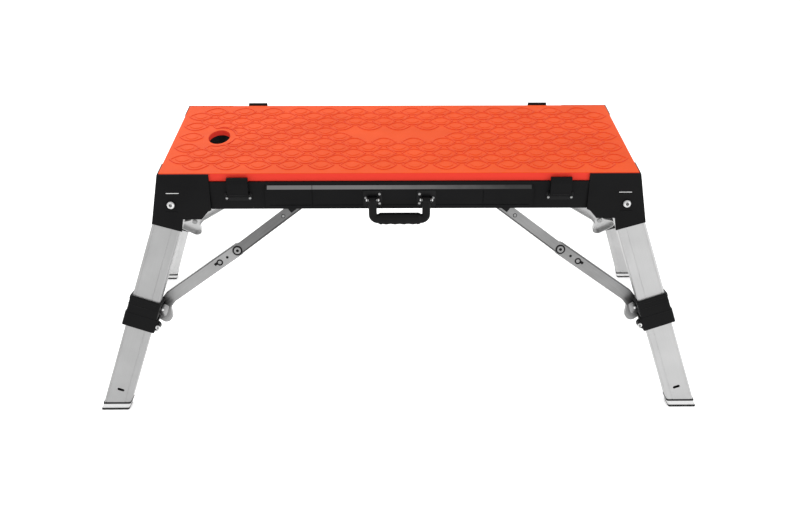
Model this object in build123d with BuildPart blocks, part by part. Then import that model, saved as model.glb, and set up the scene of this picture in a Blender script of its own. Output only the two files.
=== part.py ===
from build123d import *
import math
import os

os.makedirs("parts", exist_ok=True)

# A folding work platform: a textured deck on a moulded frame, four folding
# telescopic legs with two-link knee braces, a carry handle and four latches.
# Millimetres. +X along the deck, +Y to the back, +Z up, origin on the floor.

# ---------------------------------------------------------------- sizes
DECK_LENGTH = 1016.0
DECK_WIDTH = 380.0
DECK_TOP = 548.0
DECK_DEPTH = 18.0
DECK_WALL = 4.0
DECK_HOLE_X = -407.0
DECK_HOLE_WIDTH = 48.0
DECK_HOLE_LENGTH = 76.0
HOLE_COLLAR_LOW = 536.0

FRAME_TOP = 529.7
FRAME_PLATE = 6.3
FRAME_BOTTOM = 466.0
FRAME_FRONT = 194.0
FRAME_WALL = 3.7
FRAME_SPAN = 401.7
PANEL_HALF = 285.0
PANEL_TOP, PANEL_SHOULDER, PANEL_LOW = 523.0, 515.0, 470.0
PANEL_PROUD = 5.0

# The leg pivot sits on the outer face of the leg. The leg, its collar and its
# brace all move in one plane, which leans out at the bottom by LEAN.
PIVOT = Vector(-486.0, -182.0, 475.0)
LEAN = math.radians(13.6)
SPLAY = math.radians(18.87)

UPPER_TUBE = (61.6, 30.0)
UPPER_START, UPPER_END = -14.0, 300.0
LOWER_TUBE = (58.0, 26.4)
LOWER_START = 234.0
TUBE_WALL = 1.5
TUBE_CORNER = 4.0
FIT_GAP = 0.1

COLLAR_START, COLLAR_STEP, COLLAR_END = 232.0, 275.0, 304.0
COLLAR_WALL = 4.0
FOOT_PAD, FOOT_NECK, FOOT_FLANGE = 5.0, 14.0, 17.5

# Brace geometry in the leaning plane: distances inward from the pivot and
# down the slope. The two links lie almost straight when the leg is out.
ANCHOR_ALONG, ANCHOR_IN = 252.0, 36.8
KNEE = (126.6, 118.9)
UPPER_LINK_LENGTH, UPPER_LINK_RISE = 191.5, math.radians(37)
HANGER = (
    KNEE[0] + UPPER_LINK_LENGTH * math.cos(UPPER_LINK_RISE),
    KNEE[1] - UPPER_LINK_LENGTH * math.sin(UPPER_LINK_RISE),
)
BEND = (-30.0, 229.0)
TAIL = (-44.0, 275.0)
UPPER_LINK_DEPTH = (37.6, 42.0)
LOWER_LINK_DEPTH = (42.6, 54.0)
LINK_SHEET = 1.8
PIN_RADIUS = 4.0
BOLT_RADIUS = 5.0

HANDLE_PIVOT = (-207.0, 493.0)
HANDLE_HALF = 66.0
LATCH_X = 342.0
LATCH_HALF = 22.3


# ---------------------------------------------------------------- planes
def slope_point(inward, down, depth=0.0):
    """A point of the leaning plane of the front left leg."""
    return Vector(
        PIVOT.X + inward,
        PIVOT.Y - down * math.sin(LEAN) + depth * math.cos(LEAN),
        PIVOT.Z - down * math.cos(LEAN) - depth * math.sin(LEAN),
    )


INWARD = Vector(1, 0, 0)
DOWN = Vector(0, -math.sin(LEAN), -math.cos(LEAN))
DEPTH = Vector(0, math.cos(LEAN), -math.sin(LEAN))
LEG_DOWN = DOWN * math.cos(SPLAY) - INWARD * math.sin(SPLAY)
LEG_IN = INWARD * math.cos(SPLAY) + DOWN * math.sin(SPLAY)


def slope_plane(depth=0.0):
    """X inward, Y down the slope, Z into the platform, seen from outside."""
    return Plane(origin=slope_point(0, 0, depth), x_dir=INWARD, z_dir=DEPTH)


def leg_face(depth=0.0):
    """X across the leg to its inboard edge, Y down the leg, Z into the leg."""
    return Plane(origin=slope_point(0, 0, depth), x_dir=LEG_IN, z_dir=DEPTH)


def leg_section(along):
    """A plane square to the leg. X runs inboard, and Y runs outward."""
    return Plane(origin=PIVOT + LEG_DOWN * along, x_dir=LEG_IN, z_dir=LEG_DOWN)


ANCHOR = (
    ANCHOR_IN * math.cos(SPLAY) - ANCHOR_ALONG * math.sin(SPLAY),
    ANCHOR_IN * math.sin(SPLAY) + ANCHOR_ALONG * math.cos(SPLAY),
)

CORNERS = {
    "front_left": (),
    "front_right": (Plane.YZ,),
    "rear_left": (Plane.XZ,),
    "rear_right": (Plane.YZ, Plane.XZ),
}


def save(piece, name):
    piece.part.label = name
    export_step(piece.part, f"parts/{name}.step")


def reflected(piece, planes):
    """The front left piece carried to another corner."""
    with BuildPart() as copy:
        add(piece.part)
        for plane in planes:
            mirror(about=plane, mode=Mode.REPLACE)
    return copy


def save_at_corners(piece, name):
    for corner, planes in CORNERS.items():
        save(reflected(piece, planes), f"{name}_{corner}")


def save_as_group(piece, name):
    """The same fastener at all four corners, as separate solids of one node."""
    with BuildPart() as group:
        for planes in CORNERS.values():
            add(reflected(piece, planes).part)
    save(group, name)


# ---------------------------------------------------------------- deck
DECK_UNDER = DECK_TOP - DECK_DEPTH
POCKET_COUNT = (12, 4)


def hole_outline(grow, mode=Mode.ADD):
    """The oval of the deck's through hole, grown all round."""
    with Locations((DECK_HOLE_X, 0)):
        Ellipse(DECK_HOLE_WIDTH / 2 + grow, DECK_HOLE_LENGTH / 2 + grow, mode=mode)


with BuildPart() as deck_panel:
    with BuildSketch(Plane.XY.offset(DECK_UNDER)):
        RectangleRounded(DECK_LENGTH, DECK_WIDTH, 5)
    extrude(amount=DECK_DEPTH)
    fillet(deck_panel.faces().sort_by(Axis.Z)[-1].edges(), radius=2)
    # ribbed underside: a grid of pockets between crossing ribs
    pitch_x = (DECK_LENGTH - 2 * DECK_WALL) / POCKET_COUNT[0]
    pitch_y = (DECK_WIDTH - 2 * DECK_WALL) / POCKET_COUNT[1]
    with BuildSketch(Plane.XY.offset(DECK_UNDER)):
        with GridLocations(pitch_x, pitch_y, *POCKET_COUNT):
            Rectangle(pitch_x - DECK_WALL, pitch_y - DECK_WALL)
    extrude(amount=DECK_DEPTH - DECK_WALL, mode=Mode.SUBTRACT)
    # oval through hole: a short collar in the deck, with room for the frame's
    # ring below it
    with BuildSketch(Plane.XY.offset(HOLE_COLLAR_LOW)):
        hole_outline(7)
    extrude(amount=DECK_TOP - HOLE_COLLAR_LOW - 1)
    with BuildSketch(Plane.XY.offset(DECK_UNDER)):
        hole_outline(7)
    extrude(amount=HOLE_COLLAR_LOW - DECK_UNDER, mode=Mode.SUBTRACT)
    with BuildSketch(Plane.XY.offset(DECK_UNDER)):
        hole_outline(0)
    extrude(amount=DECK_DEPTH + 1, mode=Mode.SUBTRACT)
save(deck_panel, "deck_panel")

# ---------------------------------------------------------------- frame
CAP_INNER_SIDE = 137.0
with BuildPart() as frame_body:
    with BuildSketch(Plane.XY.offset(FRAME_TOP - FRAME_PLATE)):
        Rectangle(2 * 506, 2 * 188)
        Rectangle(2 * FRAME_SPAN, 2 * FRAME_FRONT)
    extrude(amount=FRAME_PLATE)
    # front and back walls, with a tongue at each end that closes the joint with
    # the corner cap
    with BuildSketch(Plane.XY.offset(FRAME_BOTTOM)):
        with Locations((0, FRAME_FRONT - FRAME_WALL / 2), (0, FRAME_WALL / 2 - FRAME_FRONT)):
            Rectangle(2 * FRAME_SPAN, FRAME_WALL)
    extrude(amount=FRAME_TOP - FRAME_BOTTOM)
    with BuildSketch(Plane.XY.offset(FRAME_BOTTOM)):
        with Locations((0, FRAME_FRONT - 2.4), (0, 2.4 - FRAME_FRONT)):
            Rectangle(2 * (FRAME_SPAN + 7), 2.6)
    extrude(amount=46)
    # end walls between the corner caps
    with BuildSketch(Plane.XY.offset(FRAME_BOTTOM)):
        with Locations((506 - FRAME_WALL / 2, 0), (FRAME_WALL / 2 - 506, 0)):
            Rectangle(FRAME_WALL, 2 * CAP_INNER_SIDE - 1)
    extrude(amount=FRAME_TOP - FRAME_BOTTOM)
    # two long ribs under the plate, between the front and rear brace bays
    with BuildSketch(Plane.XY.offset(FRAME_BOTTOM + 8)):
        with Locations((0, 60), (0, -60)):
            Rectangle(2 * 502.5, 3)
    extrude(amount=FRAME_TOP - FRAME_PLATE - FRAME_BOTTOM - 8)
    # the ring that carries on the deck's hole
    with BuildSketch(Plane.XY.offset(FRAME_TOP - 1)):
        hole_outline(5.5)
    extrude(amount=HOLE_COLLAR_LOW - FRAME_TOP + 0.7)
    with BuildSketch(Plane.XY.offset(FRAME_TOP - FRAME_PLATE - 1)):
        hole_outline(1)
    extrude(amount=40, mode=Mode.SUBTRACT)
save(frame_body, "frame_body")


def fascia(side):
    """The raised panel on a long wall: bevelled top, shadow groove and seams."""
    wall = side * FRAME_FRONT
    face = side * (FRAME_FRONT + PANEL_PROUD)
    with BuildPart() as panel:
        with BuildSketch(Plane.YZ.offset(-PANEL_HALF)):
            with BuildLine():
                Polyline(
                    (wall, PANEL_LOW),
                    (wall, PANEL_TOP),
                    (face, PANEL_SHOULDER),
                    (face, PANEL_LOW),
                    close=True,
                )
            make_face()
        extrude(amount=2 * PANEL_HALF)
        with BuildSketch(Plane.XZ.offset(-face)):
            with Locations((-185, 492), (178, 492)):
                Rectangle(1.6, 40)
            with Locations((0, 477.5)):
                Rectangle(2 * PANEL_HALF - 16, 1.6)
        extrude(amount=1.2, both=True, mode=Mode.SUBTRACT)
    return panel


save(fascia(-1), "front_fascia_panel")
save(fascia(1), "rear_fascia_panel")

# ---------------------------------------------------------------- corner caps
CAP_TOP, CAP_LOW = 546.5, 413.0
CAP_INBOARD = -402.0
CAP_SIDE_TOP, CAP_SIDE_LOW = -510.0, -536.3
CAP_FRONT_LOW = -206.0
CAP_CEILING = FRAME_TOP - FRAME_PLATE
CAP_SHELL = 2.5


def plan_rectangle(x0, x1, y0, y1):
    with Locations(((x0 + x1) / 2, (y0 + y1) / 2)):
        Rectangle(x1 - x0, y1 - y0)


def cap_side(height):
    """The outer end face of a cap at a height."""
    return CAP_SIDE_TOP + (CAP_SIDE_LOW - CAP_SIDE_TOP) * (CAP_TOP - height) / (CAP_TOP - CAP_LOW)


def cap_front(height):
    """The outer front face of a cap at a height."""
    return -FRAME_FRONT + (CAP_FRONT_LOW + FRAME_FRONT) * (CAP_TOP - height) / (CAP_TOP - CAP_LOW)


with BuildPart() as corner_cap:
    with BuildSketch(Plane.XY.offset(CAP_TOP)):
        plan_rectangle(CAP_SIDE_TOP, CAP_INBOARD, -FRAME_FRONT, -CAP_INNER_SIDE)
    with BuildSketch(Plane.XY.offset(CAP_LOW)):
        plan_rectangle(CAP_SIDE_LOW, CAP_INBOARD, CAP_FRONT_LOW, -CAP_INNER_SIDE)
    loft()
    # room for the deck and the frame plate
    with BuildSketch(Plane.XY.offset(CAP_CEILING)):
        plan_rectangle(-508.3, CAP_INBOARD + 1, -FRAME_FRONT + FRAME_WALL, -CAP_INNER_SIDE + 1)
    extrude(amount=CAP_TOP - CAP_CEILING + 1, mode=Mode.SUBTRACT)
    # the leg bay, open inboard and below
    bay_top = CAP_CEILING - 4
    with BuildSketch(Plane.XY.offset(bay_top)):
        plan_rectangle(
            cap_side(bay_top) + CAP_SHELL, CAP_INBOARD + 1, cap_front(bay_top) + 3.5, -141
        )
    with BuildSketch(Plane.XY.offset(CAP_LOW - 1)):
        plan_rectangle(
            cap_side(CAP_LOW - 1) + CAP_SHELL, CAP_INBOARD + 1, cap_front(CAP_LOW - 1) + 3.5, -141
        )
    loft(mode=Mode.SUBTRACT)
    # the shaped lower edge of the front wall
    with BuildSketch(Plane.XZ.offset(100)):
        with BuildLine():
            Polyline(
                (-560, 443.7),
                (-469, 416.5),
                (-464, 445.5),
                (-424, 445.5),
                (-409, 463),
                (CAP_INBOARD - 1, FRAME_BOTTOM),
                (CAP_INBOARD + 5, FRAME_BOTTOM),
                (CAP_INBOARD + 5, 400),
                (-560, 400),
                close=True,
            )
        make_face()
    extrude(amount=130, mode=Mode.SUBTRACT)
    # the end wall and the inner wall stop short, so the leg swings clear
    with BuildSketch(Plane.XY.offset(400)):
        plan_rectangle(-560, -519, -197.5, -130)
    extrude(amount=62, mode=Mode.SUBTRACT)
    with BuildSketch(Plane.XY.offset(400)):
        plan_rectangle(-560, CAP_INBOARD + 5, -150, -130)
    extrude(amount=46, mode=Mode.SUBTRACT)
    # the pivot boss, square to the leg
    with BuildSketch(slope_plane(-20)):
        Circle(10.5)
    extrude(amount=19.2)
    with BuildSketch(slope_plane(-30)):
        Circle(BOLT_RADIUS + FIT_GAP)
    extrude(amount=90, mode=Mode.SUBTRACT)
    # a recessed slot above the boss
    with BuildSketch(Plane.XZ.offset(FRAME_FRONT + 1)):
        with Locations((-481, 505)):
            SlotOverall(30, 4)
    extrude(amount=6, mode=Mode.SUBTRACT)
save_at_corners(corner_cap, "corner_cap")

with BuildPart() as pivot_bolt:
    with BuildSketch(slope_plane(-20)):
        Circle(BOLT_RADIUS)
    extrude(amount=76)
    with BuildSketch(slope_plane(-24)):
        Circle(8.2)
    extrude(amount=4)
    fillet(pivot_bolt.faces().sort_by(Axis.Y)[0].edges(), radius=1.5)
    with BuildSketch(slope_plane(50)):
        RegularPolygon(8.5, 6)
    extrude(amount=6)
save_as_group(pivot_bolt, "leg_pivot_bolts")


# ---------------------------------------------------------------- legs
def tube_outline(size, shrink=0.0, corner=TUBE_CORNER, middle=15.0):
    """A rounded rectangle across the leg, about the middle of its depth."""
    with Locations((0, -middle)):
        RectangleRounded(size[0] - 2 * shrink, size[1] - 2 * shrink, corner)


with BuildPart() as leg_upper:
    with BuildSketch(leg_section(UPPER_START)):
        tube_outline(UPPER_TUBE)
        with Locations((13, 0), (-24, 0), (13, -30), (-24, -30)):
            Rectangle(2, 1.4, mode=Mode.SUBTRACT)
    extrude(amount=UPPER_END - UPPER_START)
    with BuildSketch(leg_section(UPPER_START + 4)):
        tube_outline(UPPER_TUBE, TUBE_WALL, TUBE_CORNER - TUBE_WALL)
    extrude(amount=UPPER_END - UPPER_START, mode=Mode.SUBTRACT)
    with BuildSketch(leg_face(-1)):
        Circle(BOLT_RADIUS + FIT_GAP)
    extrude(amount=UPPER_TUBE[1] + 2, mode=Mode.SUBTRACT)

FOOT_REACH = 620.0


def clip_to_heights(low, high):
    """Keep only what lies between two heights above the floor."""
    with Locations((PIVOT.X, PIVOT.Y, (low + high) / 2)):
        Box(900, 700, high - low, mode=Mode.INTERSECT)


with BuildPart() as leg_lower:
    with BuildSketch(leg_section(LOWER_START)):
        tube_outline(LOWER_TUBE)
        with Locations((16.5, -1.8), (-24, -1.8), (16.5, -28.2), (-24, -28.2)):
            Rectangle(2, 1.2, mode=Mode.SUBTRACT)
    extrude(amount=FOOT_REACH - LOWER_START)
    with BuildSketch(leg_section(LOWER_START - 1)):
        tube_outline(LOWER_TUBE, TUBE_WALL, TUBE_CORNER - TUBE_WALL)
    extrude(amount=FOOT_REACH - LOWER_START + 2, mode=Mode.SUBTRACT)
    with BuildSketch(leg_face(0)):
        with Locations((0, 463.6)):
            SlotOverall(16, 6)
    extrude(amount=6, mode=Mode.SUBTRACT)
    clip_to_heights(FOOT_FLANGE, 400)
save_at_corners(leg_upper, "leg_upper_tube")
save_at_corners(leg_lower, "leg_lower_tube")


def foot_layer(size, low, high):
    """A slab of the leg's section between two heights, cut level."""
    with BuildPart() as layer:
        with BuildSketch(leg_section(440)):
            tube_outline(size)
        extrude(amount=FOOT_REACH - 440)
        clip_to_heights(low, high)
    return layer.part


FOOT_OUTER = (LOWER_TUBE[0] + 2.0, LOWER_TUBE[1] + 2.0)
FOOT_PLUG = (LOWER_TUBE[0] - 2 * TUBE_WALL - 0.4, LOWER_TUBE[1] - 2 * TUBE_WALL - 0.4)
foot_layers = [
    foot_layer(FOOT_OUTER, 0, FOOT_PAD),
    foot_layer(LOWER_TUBE, FOOT_PAD, FOOT_NECK),
    foot_layer(FOOT_OUTER, FOOT_NECK, FOOT_FLANGE),
    foot_layer(FOOT_PLUG, FOOT_FLANGE, 45),
]
with BuildPart() as foot:
    for layer in foot_layers:
        add(layer)
save_at_corners(foot, "foot")

# ---------------------------------------------------------------- collars
COLLAR_OUTER = (UPPER_TUBE[0] + 2 * COLLAR_WALL, UPPER_TUBE[1] + 2 * COLLAR_WALL)
COLLAR_SKIRT = (UPPER_TUBE[0] + 12.0, UPPER_TUBE[1] + 2 * COLLAR_WALL)
COLLAR_BORE = (UPPER_TUBE[0] + 2 * FIT_GAP, UPPER_TUBE[1] + 2 * FIT_GAP)
COLLAR_MOUTH = (LOWER_TUBE[0] + 0.7, LOWER_TUBE[1] + 0.7)

with BuildPart() as collar:
    with BuildSketch(leg_section(COLLAR_START)):
        tube_outline(COLLAR_OUTER)
    extrude(amount=COLLAR_STEP - COLLAR_START)
    with BuildSketch(leg_section(COLLAR_STEP)):
        tube_outline(COLLAR_SKIRT)
    extrude(amount=COLLAR_END - COLLAR_STEP)
    # the clamp rib round the step
    with BuildSketch(leg_section(COLLAR_STEP - 3)):
        tube_outline((COLLAR_SKIRT[0], COLLAR_SKIRT[1] + 1))
    extrude(amount=3)
    # the bolted lug low on the inboard edge
    with BuildSketch(leg_face(-3)):
        with Locations((38, 287)):
            Circle(9)
        with Locations((32, 283)):
            Rectangle(12, 20)
    extrude(amount=16)
    # the boss that carries the end of the brace
    with BuildSketch(leg_face(20)):
        with Locations((ANCHOR_IN, ANCHOR_ALONG)):
            Circle(9)
        with Locations((ANCHOR_IN - 6, ANCHOR_ALONG)):
            Rectangle(12, 18)
    extrude(amount=14)
    with BuildSketch(leg_face(34)):
        with Locations((ANCHOR_IN, ANCHOR_ALONG)):
            Circle(8)
    extrude(amount=8)
    with BuildSketch(leg_section(COLLAR_START - 1)):
        tube_outline(COLLAR_BORE)
    extrude(amount=UPPER_END - COLLAR_START + 1, mode=Mode.SUBTRACT)
    with BuildSketch(leg_section(COLLAR_START - 1)):
        tube_outline(COLLAR_MOUTH)
    extrude(amount=COLLAR_END - COLLAR_START + 2, mode=Mode.SUBTRACT)
    with BuildSketch(leg_face(-8)):
        with Locations((42.3, 287)):
            Circle(3.1)
    extrude(amount=30, mode=Mode.SUBTRACT)
save_at_corners(collar, "collar")

with BuildPart() as collar_screw:
    with BuildSketch(leg_face(-3)):
        with Locations((42.3, 287)):
            Circle(3)
    extrude(amount=18)
    with BuildSketch(leg_face(-5)):
        with Locations((42.3, 287)):
            Circle(5.2)
    extrude(amount=2)
save_at_corners(collar_screw, "collar_screw")


# ---------------------------------------------------------------- braces
def bar(ends, radius):
    """A flat bar with round ends between two points of the leaning plane."""
    (x0, y0), (x1, y1) = ends
    angle = math.degrees(math.atan2(y1 - y0, x1 - x0))
    with Locations(Location(((x0 + x1) / 2, (y0 + y1) / 2, 0), (0, 0, angle))):
        SlotCenterToCenter(math.hypot(x1 - x0, y1 - y0), 2 * radius)


def tray(spans, radius, depths, holes):
    """A pressed channel: a flat web outside, and flanges that point inward."""
    with BuildPart() as link:
        with BuildSketch(slope_plane(depths[0])):
            for span in spans:
                bar(span, radius)
        extrude(amount=depths[1] - depths[0])
        with BuildSketch(slope_plane(depths[0] + LINK_SHEET)):
            for span in spans:
                bar(span, radius - LINK_SHEET)
        extrude(amount=depths[1] - depths[0], mode=Mode.SUBTRACT)
        for centre, hole_radius in holes:
            with BuildSketch(slope_plane(depths[0] - 1)):
                with Locations(centre):
                    Circle(hole_radius)
            extrude(amount=depths[1] - depths[0] + 2, mode=Mode.SUBTRACT)
    return link


def along(start, end, distance):
    """The point a distance from start on the way to end."""
    span = math.hypot(end[0] - start[0], end[1] - start[1])
    part = distance / span
    return (start[0] + (end[0] - start[0]) * part, start[1] + (end[1] - start[1]) * part)


LOCK = along(KNEE, BEND, 51)
EAR = (ANCHOR[0] - 24, ANCHOR[1] + 6)
brace_upper = tray(
    [(HANGER, KNEE)],
    12.0,
    UPPER_LINK_DEPTH,
    [(HANGER, PIN_RADIUS + FIT_GAP), (KNEE, PIN_RADIUS + FIT_GAP), (along(HANGER, KNEE, 61), 3)],
)
save_at_corners(brace_upper, "brace_upper_link")

brace_lower = tray(
    [(KNEE, BEND), (BEND, ANCHOR), (ANCHOR, TAIL), (ANCHOR, EAR), (EAR, TAIL)],
    14.0,
    LOWER_LINK_DEPTH,
    [
        (KNEE, PIN_RADIUS + FIT_GAP),
        (LOCK, 4.1),
        (ANCHOR, PIN_RADIUS + FIT_GAP),
        (along(KNEE, BEND, 30), 2.5),
    ],
)
save_at_corners(brace_lower, "brace_lower_link")


def flat_pin(centre, low, high, head, head_low, head_high):
    """A pin with a head at each end, square to the leaning plane."""
    with BuildPart() as pin:
        for radius, start, end in (
            (PIN_RADIUS, low, high),
            (head, low, low + head_low),
            (head, high - head_high, high),
        ):
            with BuildSketch(slope_plane(start)):
                with Locations(centre):
                    Circle(radius)
            extrude(amount=end - start)
    return pin


# the knee pin is fast in the upper link
knee_pin = flat_pin(KNEE, 35.8, 46.8, 7.5, 1.8, 2.0)
save_at_corners(knee_pin, "knee_pin")

# two pieces fast in the lower link: the end rivet, which runs in the link and
# stops short of the collar's boss, and the button of the knee lock
with BuildPart() as link_fixings:
    with BuildSketch(slope_plane(LOWER_LINK_DEPTH[0])):
        with Locations(ANCHOR):
            Circle(PIN_RADIUS)
    extrude(amount=4)
    with BuildSketch(slope_plane(LOWER_LINK_DEPTH[0] + LINK_SHEET)):
        with Locations(ANCHOR):
            Circle(6.5)
    extrude(amount=2.2)
    with BuildSketch(slope_plane(LOWER_LINK_DEPTH[0] + 0.2)):
        with Locations(LOCK):
            Circle(4)
    extrude(amount=8)
    with BuildSketch(slope_plane(LOWER_LINK_DEPTH[0] + LINK_SHEET)):
        with Locations(LOCK):
            RectangleRounded(11, 9, 2)
    extrude(amount=2.5)
save_at_corners(link_fixings, "brace_lower_fixings")

# a channel under the frame plate. The front leaf carries the upper link, and
# the back leaf, behind both links, is their stop.
BRACKET_DEPTH = (35.0, 37.0)
BRACKET_ROOF = FRAME_TOP - FRAME_PLATE
with BuildPart() as brace_bracket:
    with BuildSketch(slope_plane(BRACKET_DEPTH[0])):
        with BuildLine():
            Polyline((264.5, -60), (264.5, 12), (276, 20), (292, 12), (292, -60), close=True)
        make_face()
        with Locations(HANGER):
            Circle(PIN_RADIUS + FIT_GAP, mode=Mode.SUBTRACT)
    extrude(amount=BRACKET_DEPTH[1] - BRACKET_DEPTH[0])
    with BuildSketch(slope_plane(56)):
        plan_rectangle(243, 258, -64, 33)
    extrude(amount=2)
    with BuildSketch(Plane.XY.offset(BRACKET_ROOF - 2.5)):
        plan_rectangle(PIVOT.X + 243, PIVOT.X + 292, -158, -108)
    extrude(amount=2.5)
    with BuildSketch(Plane.XY.offset(BRACKET_ROOF)):
        plan_rectangle(PIVOT.X + 230, PIVOT.X + 320, -200, -60)
    extrude(amount=60, mode=Mode.SUBTRACT)
save_as_group(brace_bracket, "brace_brackets")

with BuildPart() as bracket_pin:
    with BuildSketch(slope_plane(BRACKET_DEPTH[0])):
        with Locations(HANGER):
            Circle(PIN_RADIUS)
    extrude(amount=6.4)
    with BuildSketch(slope_plane(39.6)):
        with Locations(HANGER):
            Circle(7)
    extrude(amount=1.8)
save_as_group(bracket_pin, "brace_bracket_pins")

# ---------------------------------------------------------------- handle
HANDLE_Y, HANDLE_Z = HANDLE_PIVOT
PANEL_FACE = -(FRAME_FRONT + PANEL_PROUD)
ARM_IN, GRIP_TOP, GRIP_LOW = 48.0, 461.5, 435.0

with BuildPart() as handle:
    for side in (-1, 1):
        with BuildSketch(Plane.YZ.offset(side * (ARM_IN + HANDLE_HALF) / 2)):
            with Locations((HANDLE_Y, HANDLE_Z)):
                Circle(6.5)
            with Locations((HANDLE_Y, (HANDLE_Z + GRIP_LOW + 10) / 2)):
                Rectangle(11, HANDLE_Z - GRIP_LOW - 10)
        extrude(amount=(HANDLE_HALF - ARM_IN) / 2, both=True)
    with BuildSketch(Plane.YZ.offset(-HANDLE_HALF)):
        with Locations((HANDLE_Y, (GRIP_TOP + GRIP_LOW) / 2)):
            RectangleRounded(20, GRIP_TOP - GRIP_LOW, 8)
    extrude(amount=2 * HANDLE_HALF)
    with BuildSketch(Plane.XZ.offset(230)):
        with Locations((0, GRIP_LOW + 45)):
            RectangleRounded(2 * HANDLE_HALF, 90, 12)
    extrude(amount=-60, mode=Mode.INTERSECT)
    with BuildSketch(Plane.YZ.offset(-HANDLE_HALF - 1)):
        with Locations((HANDLE_Y, HANDLE_Z)):
            Circle(3.1)
    extrude(amount=2 * HANDLE_HALF + 2, mode=Mode.SUBTRACT)
save(handle, "handle")

BRACKET_MIDDLE = (ARM_IN + HANDLE_HALF) / 2
with BuildPart() as handle_brackets:
    for side in (-1, 1):
        with BuildSketch(Plane.XZ.offset(-PANEL_FACE)):
            with Locations((side * BRACKET_MIDDLE, HANDLE_Z)):
                RectangleRounded(40, 38, 4)
        extrude(amount=1.2)
        for ear in (-10.2, 10.2):
            with BuildSketch(Plane.YZ.offset(side * BRACKET_MIDDLE + ear)):
                with Locations((HANDLE_Y, HANDLE_Z)):
                    Circle(6.5)
                with Locations(((HANDLE_Y + PANEL_FACE) / 2, HANDLE_Z)):
                    Rectangle(PANEL_FACE - HANDLE_Y, 13)
                with Locations((HANDLE_Y, HANDLE_Z)):
                    Circle(3.05, mode=Mode.SUBTRACT)
            extrude(amount=0.9, both=True)
save(handle_brackets, "handle_brackets")

with BuildPart() as handle_pins:
    with BuildSketch(Plane.YZ.offset(BRACKET_MIDDLE - 14)):
        with Locations((HANDLE_Y, HANDLE_Z)):
            Circle(3)
    extrude(amount=28)
    mirror(about=Plane.YZ)
save(handle_pins, "handle_pins")


def rivet_heads(places, face, side):
    """Low domed heads on a long wall. side is -1 at the front, 1 at the back."""
    with BuildPart() as heads:
        with BuildSketch(Plane.XZ.offset(-side * face)):
            with Locations(*places):
                Circle(3.2)
        extrude(amount=-side * 1.8, taper=20)
    return heads


HANDLE_RIVETS = [
    (side * (BRACKET_MIDDLE + out), HANDLE_Z + up)
    for side in (-1, 1)
    for out, up in ((14.6, 2), (-14.6, 11), (-14.6, -11))
]
save(rivet_heads(HANDLE_RIVETS, -PANEL_FACE + 1.2, -1), "handle_rivets")

# ---------------------------------------------------------------- latches
LATCH_HINGE_Z = 501.0
LATCH_RIVET_Z = 493.0
LATCH_HINGE_Y = FRAME_FRONT + 6.5
BASE_SHEET = 1.5


def latch_base(x, side):
    """A strap riveted to the wall with two ears for the latch's hinge."""
    with BuildPart() as base:
        with BuildSketch(Plane.XZ.offset(-side * FRAME_FRONT)):
            with Locations((x, LATCH_RIVET_Z + 3)):
                RectangleRounded(58, 18, 4)
        extrude(amount=-side * BASE_SHEET)
        for ear in (-23.6, 23.6):
            with BuildSketch(Plane.YZ.offset(x + ear)):
                with Locations((side * LATCH_HINGE_Y, LATCH_HINGE_Z)):
                    Circle(4)
                with Locations((side * (FRAME_FRONT + 3.6), LATCH_HINGE_Z)):
                    Rectangle(6.4, 8)
                with Locations((side * LATCH_HINGE_Y, LATCH_HINGE_Z)):
                    Circle(1.55, mode=Mode.SUBTRACT)
            extrude(amount=0.9, both=True)
    return base.part


def latch_lever(x, side, top):
    """The lever that closes up against the edge of the deck."""
    with BuildPart() as lever:
        with BuildSketch(Plane.YZ.offset(x - LATCH_HALF)):
            with BuildLine():
                Polyline(
                    (side * (FRAME_FRONT + 2.6), LATCH_HINGE_Z + 5),
                    (side * (FRAME_FRONT + 2.6), 531),
                    (side * (FRAME_FRONT - 2.5), 535),
                    (side * (FRAME_FRONT - 2.5), top - 3),
                    (side * (FRAME_FRONT - 0.5), top),
                    (side * (FRAME_FRONT + 5.6), top),
                    (side * (FRAME_FRONT + 8.6), top - 12),
                    (side * (FRAME_FRONT + 9.5), LATCH_HINGE_Z - 2),
                    (side * (FRAME_FRONT + 7.5), LATCH_HINGE_Z - 4),
                    (side * (FRAME_FRONT + 3.5), LATCH_HINGE_Z - 3),
                    close=True,
                )
            make_face()
            with Locations((side * LATCH_HINGE_Y, LATCH_HINGE_Z)):
                Circle(1.6, mode=Mode.SUBTRACT)
        extrude(amount=2 * LATCH_HALF)
    return lever


FRONT_LATCH_TOP, REAR_LATCH_TOP = 540.0, 551.0
LATCHES = {
    "front_left": (-LATCH_X, -1, FRONT_LATCH_TOP),
    "front_right": (LATCH_X, -1, FRONT_LATCH_TOP),
    "rear_left": (-LATCH_X, 1, REAR_LATCH_TOP),
    "rear_right": (LATCH_X, 1, REAR_LATCH_TOP),
}
for corner, (x, side, top) in LATCHES.items():
    save(latch_lever(x, side, top), f"latch_{corner}")

with BuildPart() as latch_bases:
    for x, side, top in LATCHES.values():
        add(latch_base(x, side))
save(latch_bases, "latch_bases")

with BuildPart() as latch_pins:
    for x, side, top in LATCHES.values():
        with BuildSketch(Plane.YZ.offset(x - 24.5)):
            with Locations((side * LATCH_HINGE_Y, LATCH_HINGE_Z)):
                Circle(1.5)
        extrude(amount=49)
save(latch_pins, "latch_pins")

LATCH_RIVETS = [(x + dx, LATCH_RIVET_Z) for x in (-LATCH_X, LATCH_X) for dx in (-24.6, 24.6)]
with BuildPart() as latch_rivets:
    for side in (-1, 1):
        add(rivet_heads(LATCH_RIVETS, FRAME_FRONT + BASE_SHEET, side).part)
save(latch_rivets, "latch_rivets")
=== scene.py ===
import bpy
import bmesh
import math
from mathutils import Matrix, Vector


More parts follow.
